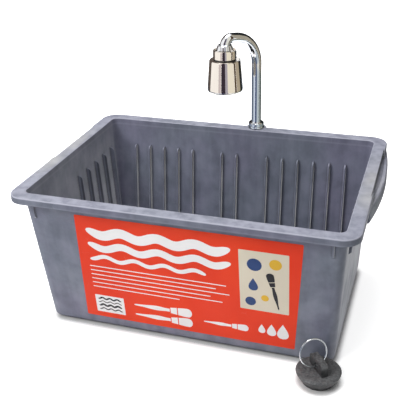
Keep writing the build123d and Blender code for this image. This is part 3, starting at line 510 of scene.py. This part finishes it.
def printed(name, ink, shapes, lift=FIRST_INK):
    """Flat shapes on the sheet: each is a middle line (u, v) in millimetres from the sheet's middle
    and a half width along it. Its edge points are line ± across · half width, on the sloping plane."""
    places, quads, start = [], [], 0
    for line, half in shapes:
        along = np.gradient(line, axis=0)
        along /= np.linalg.norm(along, axis=1, keepdims=True)
        across = np.stack([-along[:, 1], along[:, 0]], -1) * half[:, None]
        flat = np.stack([line - across, line, line + across], 1) / 1000
        sideways = flat[..., :1] * np.array((1.0, 0, 0))
        upwards = flat[..., 1:] * np.array(SHEET_UP)
        where = np.array(SHEET_FACE + SHEET_OUT * lift) + sideways + upwards
        places.append(where.reshape(-1, 3))
        # turned round, so that the faces point out from the wall
        quads.append(grid_quads(len(line), 3, start)[:, ::-1])
        start += len(line) * 3
    made = surface(name, np.concatenate(places), np.concatenate(quads), smooth=False)
    made.data.materials.append(ink)
    made.visible_glossy = False
    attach(made, "tub_body")


def bar(u0, v0, u1, v1, half, steps=12):
    """A straight bar with round ends: half width h·sqrt(1 - e²), where e runs 0 to 1 over each end."""
    ends = np.array([[u0, v0], [u1, v1]], float)
    length = np.linalg.norm(ends[1] - ends[0])
    end = half * (1 - np.cos(np.linspace(0, np.pi / 2, steps)))
    s = np.unique(np.concatenate([end, length - end]))
    e = np.clip(1 - np.minimum(s, length - s) / half, 0, 1)
    line = ends[0] + (ends[1] - ends[0]) * (s / length)[:, None]
    return line, half * np.sqrt(1 - e**2) + LEAST_HALF


def block(u0, u1, v_low, v_high, corner=1.2, steps=10):
    """An upright-edged block with small round corners, as one wide bar from left to right."""
    half = (v_high - v_low) / 2
    turn = np.linspace(0, np.pi / 2, steps)
    inwards, cut = corner * (1 - np.cos(turn)), corner * (1 - np.sin(turn))
    s = np.concatenate([u0 + inwards, u1 - inwards[::-1]])
    line = np.stack([s, np.full(len(s), (v_low + v_high) / 2)], -1)
    return line, half - np.concatenate([cut, cut[::-1]])


def wave(u0, u1, v, rise, length, half, steps=160):
    """A sine line v + rise·sin(2 pi u / length) whose width swells from nothing at each end."""
    u = np.linspace(u0, u1, steps)
    e = np.clip(1 - np.minimum(u - u0, u1 - u) / (half * 3), 0, 1)
    line = np.stack([u, v + rise * np.sin(2 * np.pi * u / length)], -1)
    return line, half * np.sqrt(1 - e**2) + LEAST_HALF


def drop(u, v, height, steps=32):
    """A falling drop: half width 0.86·height·t^1.2·sqrt(1 - t), with t from its tip to its foot."""
    t = np.linspace(0, 1, steps)
    line = np.stack([np.full(steps, u), v + height * (0.5 - t)], -1)
    return line, 0.86 * height * t**1.2 * np.sqrt(1 - t) + LEAST_HALF


def dab(u, v, radius, steps=32):
    """A round dab: half width radius·sqrt(1 - e²), with e from -1 to 1 across it."""
    e = np.cos(np.linspace(np.pi, 0, steps))
    line = np.stack([u + radius * e, np.full(steps, float(v))], -1)
    return line, radius * np.sqrt(1 - e**2) + LEAST_HALF


def brush(u, v, length, turn=0.0, steps=40):
    """A flat brush, drawn 100 long and then brought to size and turned. With t along each part, the
    half widths are 1.7 + 2.6·sin²(pi·t^1.4) + 1.6·t⁴ for the handle, with a round tip, 5.6 + 1.6·t
    for the collar, and 7.2 + 1.6·sin(0.8·pi·t) for the bristles, with a round end."""
    t = np.linspace(0, 1, steps)
    tip = np.sqrt(1 - (1 - np.minimum(9 * t, 1)) ** 2)
    tuft = np.sqrt(1 - np.clip((t - 0.72) / 0.28, 0, 1) ** 2)
    handle = (1.7 + 2.6 * np.sin(np.pi * t**1.4) ** 2 + 1.6 * t**4) * tip
    collar = 5.6 + 1.6 * t
    bristles = (7.2 + 1.6 * np.sin(np.pi * t * 0.8)) * tuft
    parts = ((62 * t, handle), (63.6 + 11 * t, collar), (76.2 + 23.8 * t, bristles))
    size = length / 100
    c, s = math.cos(math.radians(turn)), math.sin(math.radians(turn))
    spin = np.array([[c, s], [-s, c]])
    return [
        ((np.stack([far, 0 * t], -1) * size) @ spin + (u, v), half * size + LEAST_HALF)
        for far, half in parts
    ]


# each white wave's right end, height on the sheet, rise, length and half width
WHITE_WAVES = ((60, 60, 3.6, 51, 7.4), (60, 38, 3.6, 51, 5.6), (26, 19, 3.0, 42, 3.2))
printed("print_waves", white_ink, [wave(-138, *numbers) for numbers in WHITE_WAVES])
printed("print_brushes", white_ink, brush(-82, -53, 84) + brush(-82, -70, 84) + brush(18, -62, 62))
printed("print_drops", white_ink, [drop(u, -58, h) for u, h in ((98, 15), (111, 20), (126, 25))])
# each small bar's height on the sheet and its right end
SMALL_BARS = ((4, 52), (-3, 38), (-10, 56), (-17, 30), (-24, 46), (-31, -14))
printed("print_small_bars", white_ink, [bar(-140, v, u, v, 0.7) for v, u in SMALL_BARS])
printed("print_panel", cream_ink, [block(70, 134, -28, 66)])
BLUE_SHAPES = (dab(90, 45, 9.5), dab(84, -14, 7), drop(88, 14, 20))
printed("print_blue_dabs", blue_ink, BLUE_SHAPES, SECOND_INK)
printed("print_yellow_dabs", yellow_ink, [dab(117, 49, 8), dab(103, -6, 5)], SECOND_INK)
printed("print_panel_brush", dark_ink, brush(121, -22, 58, turn=102), THIRD_INK)
printed("print_block", white_ink, [block(-140, -97, -76, -46)])
# each dark wave's height on the sheet and its half width
DARK_WAVES = ((-51.5, 1.3), (-57.5, 0.7), (-63.5, 1.6), (-70, 0.9))
block_waves = [wave(-136, -101, v, 1.2, 11, half) for v, half in DARK_WAVES]
printed("print_block_waves", dark_ink, block_waves, SECOND_INK)


# ---- The tap's fixing in the rim -----------------------------------------------------------------
# A chromed brass shank that stands on the ear at the back of the rim. A rubber gasket seals it from
# above, and a rubber washer and a brass nut draw it down from below.
RUBBER_RING_PITCH = 0.0011


def rubber(name, colour, dust_and_light_colour, centre):
    """Moulded rubber: near black, with a dusty bloom and painted top light that lightens its upward
    faces, fine grain, and faint turned rings about a centre."""
    made, tree, out = blank(name)
    place = own_place(tree)
    marks = use(tree, mould_marks, place, Patch=150.0, Texture=2400.0)
    worn = use(tree, rubbing, place, Lines=150.0, Patch=90.0, Amount=0.5)
    dots = use(tree, specks, place, Count=1500.0, Size=0.3, Share=0.16)["Speck"]
    bloom_and_top_light = weighed(tree, (marks["Cloud"], 0.55), (dots, 0.6), (worn["Rub"], 0.3))
    facing = parted(tree, shader(tree, "NewGeometry").outputs["Normal"])["Z"]
    # upward faces are painted lighter: painted top light, with streaky dust in it
    top_dust_and_light = scaled(tree, marks["Streak"], 0.50, 0.28)
    bloom_and_top_light = scaled(tree, bloom_and_top_light, 0.48, product(tree, eased(tree, facing, 0.0, 0.75), top_dust_and_light))
    tone = mixed(tree, bloom_and_top_light, colour, dust_and_light_colour)
    rough = scaled(tree, bloom_and_top_light, 0.18, 0.52)
    fed = {"Vector": place, "Location": tuple(-c for c in centre)}
    local = shader(tree, "Mapping", fed).outputs[0]
    flat = shader(tree, "VectorMath", {0: local, 1: (1, 1, 0)}, operation="MULTIPLY").outputs[0]
    reach = shader(tree, "VectorMath", {0: flat}, operation="LENGTH").outputs["Value"]
    rings = sums(tree, "SINE", product(tree, reach, 2 * math.pi / RUBBER_RING_PITCH))
    height = scaled(tree, marks["Cloud"], 1.5, scaled(tree, rings, 0.12, marks["Grain"]))
    skin(tree, out, tone, rough, height, (0.5, 0.00022))
    return made


def polished(name, colour, dulled, rough=0.055):
    """Bright metal: nearly even, with wiped smears, drying spots and hairlines that dull it."""
    made, tree, out = blank(name)
    place = own_place(tree)
    marks = use(tree, mould_marks, place, Patch=55.0, Texture=900.0)
    worn = use(tree, rubbing, place, Lines=120.0, Patch=80.0, Amount=0.30)
    dots = use(tree, specks, place, Count=330.0, Size=0.30, Share=0.14)["Speck"]
    dull = weighed(tree, (dots, 0.55), (worn["Scratch"], 0.5), (marks["Streak"], 0.18))
    tone = mixed(tree, dull, colour, dulled)
    height = scaled(tree, dots, 0.4, product(tree, worn["Scratch"], -0.6))
    gloss = scaled(tree, dull, 0.16, rough)
    skin(tree, out, tone, gloss, height, (0.10, 0.00005), {"Metallic": 1.0})
    return made


def plan_middle(node):
    """The middle of a node's box, at the table's height."""
    low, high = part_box(node)
    return ((low[0] + high[0]) / 2, (low[1] + high[1]) / 2, 0.0)


tap_middle = plan_middle("tap_shank")
chrome = polished("tap_chrome", (0.84, 0.875, 0.93), (0.70, 0.72, 0.75))
finish("tap_gasket", rubber("gasket_rubber", (0.018, 0.018, 0.018), (0.05, 0.05, 0.05), tap_middle))
finish("tap_washer", rubber("washer_rubber", (0.022, 0.022, 0.022), (0.06, 0.06, 0.058), tap_middle))
finish("tap_shank", chrome)
finish("tap_lock_nut", polished("nut_brass", (0.72, 0.53, 0.25), (0.40, 0.28, 0.13), 0.22))


# ---- The gland nut and its ring ------------------------------------------------------------------
# A fluted chromed nut that screws onto the shank and holds the neck down in its socket. A slippery
# ring of white plastic under it lets the neck turn.
def plain_plastic(name, colour, deeper, rough=0.38):
    """Small moulded plastic: even colour, faint flow marks and a fine skin."""
    made, tree, out = blank(name)
    place = own_place(tree)
    marks = use(tree, mould_marks, place, Patch=120.0, Texture=3000.0)
    dots = use(tree, specks, place, Count=1800.0, Size=0.25, Share=0.08)["Speck"]
    tone = mixed(tree, marks["Cloud"], colour, deeper)
    skin(tree, out, tone, scaled(tree, dots, 0.2, rough), marks["Grain"], (0.25, 0.00008))
    return made


white_plastic = plain_plastic("slippery_white_plastic", (0.80, 0.80, 0.77), (0.72, 0.72, 0.68))
finish("gland_nut", chrome)
finish("gland_ring", white_plastic)


# ---- The gooseneck -------------------------------------------------------------------------------
# A chromed tube, bent over in one wide and one tight curve, with a flange at its free end. Its tail
# turns in the shank on two rubber seals.
seal_rubber = rubber("seal_rubber", (0.016, 0.016, 0.016), (0.035, 0.035, 0.035), tap_middle)
finish("gooseneck", chrome)
finish("lower_neck_seal", seal_rubber)
finish("upper_neck_seal", seal_rubber)


# ---- The union and its ball ----------------------------------------------------------------------
# A fluted chromed cone that hangs the head on the neck, a flat seal, and the bored ball under it,
# held between two cups of slippery plastic.
finish("union_nut", chrome)
finish("union_seal", seal_rubber)
finish("ball_stem", polished("ball_brass", (0.74, 0.70, 0.60), (0.5, 0.44, 0.34), 0.12))
finish("ball_upper_seat", white_plastic)
finish("ball_cup", white_plastic)


# ---- The head's collar and water way -------------------------------------------------------------
# A chromed ring screwed down on the cups, a dark ring that the bell turns on, and the dark plastic
# spigot and disc that share the water out inside the bell.
# the head's chrome is tinted warm in its colour, a painted reflection of warm surroundings
head_chrome_warm_reflection = polished("head_chrome_warm_reflection", (0.94, 0.895, 0.845), (0.76, 0.73, 0.69), 0.05)
finish("head_collar", head_chrome_warm_reflection)
finish("glide_ring", plain_plastic("black_plastic", (0.022, 0.022, 0.024), (0.035, 0.035, 0.036)))
finish("spray_core", plain_plastic("core_plastic", (0.10, 0.10, 0.11), (0.14, 0.14, 0.15)))
finish("flow_disc", plain_plastic("disc_plastic", (0.11, 0.11, 0.12), (0.15, 0.15, 0.16)))


# ---- The bell and its nozzle plate ---------------------------------------------------------------
# A chromed shell a little wider at its foot, closed by a grey plate with four rings of nozzles and a
# rubber ring round its edge.
finish("spray_bell", head_chrome_warm_reflection)
finish("spray_face", plain_plastic("nozzle_plastic", (0.42, 0.42, 0.44), (0.50, 0.50, 0.52), 0.30))
finish("face_seal", seal_rubber)


# ---- The stopper and its ring --------------------------------------------------------------------
# One moulding of dark grey rubber, dusty and with painted top light on its upper faces, that lies loose
# beside the tub. A ring of bright round wire hangs in its lug.
stopper_middle = plan_middle("stopper")
dark_rubber = rubber("stopper_rubber", (0.010, 0.010, 0.011), (0.165, 0.167, 0.172), stopper_middle)
finish("stopper", dark_rubber)
finish("stopper_ring", polished("ring_steel", (0.86, 0.86, 0.88), (0.6, 0.6, 0.62), 0.10))
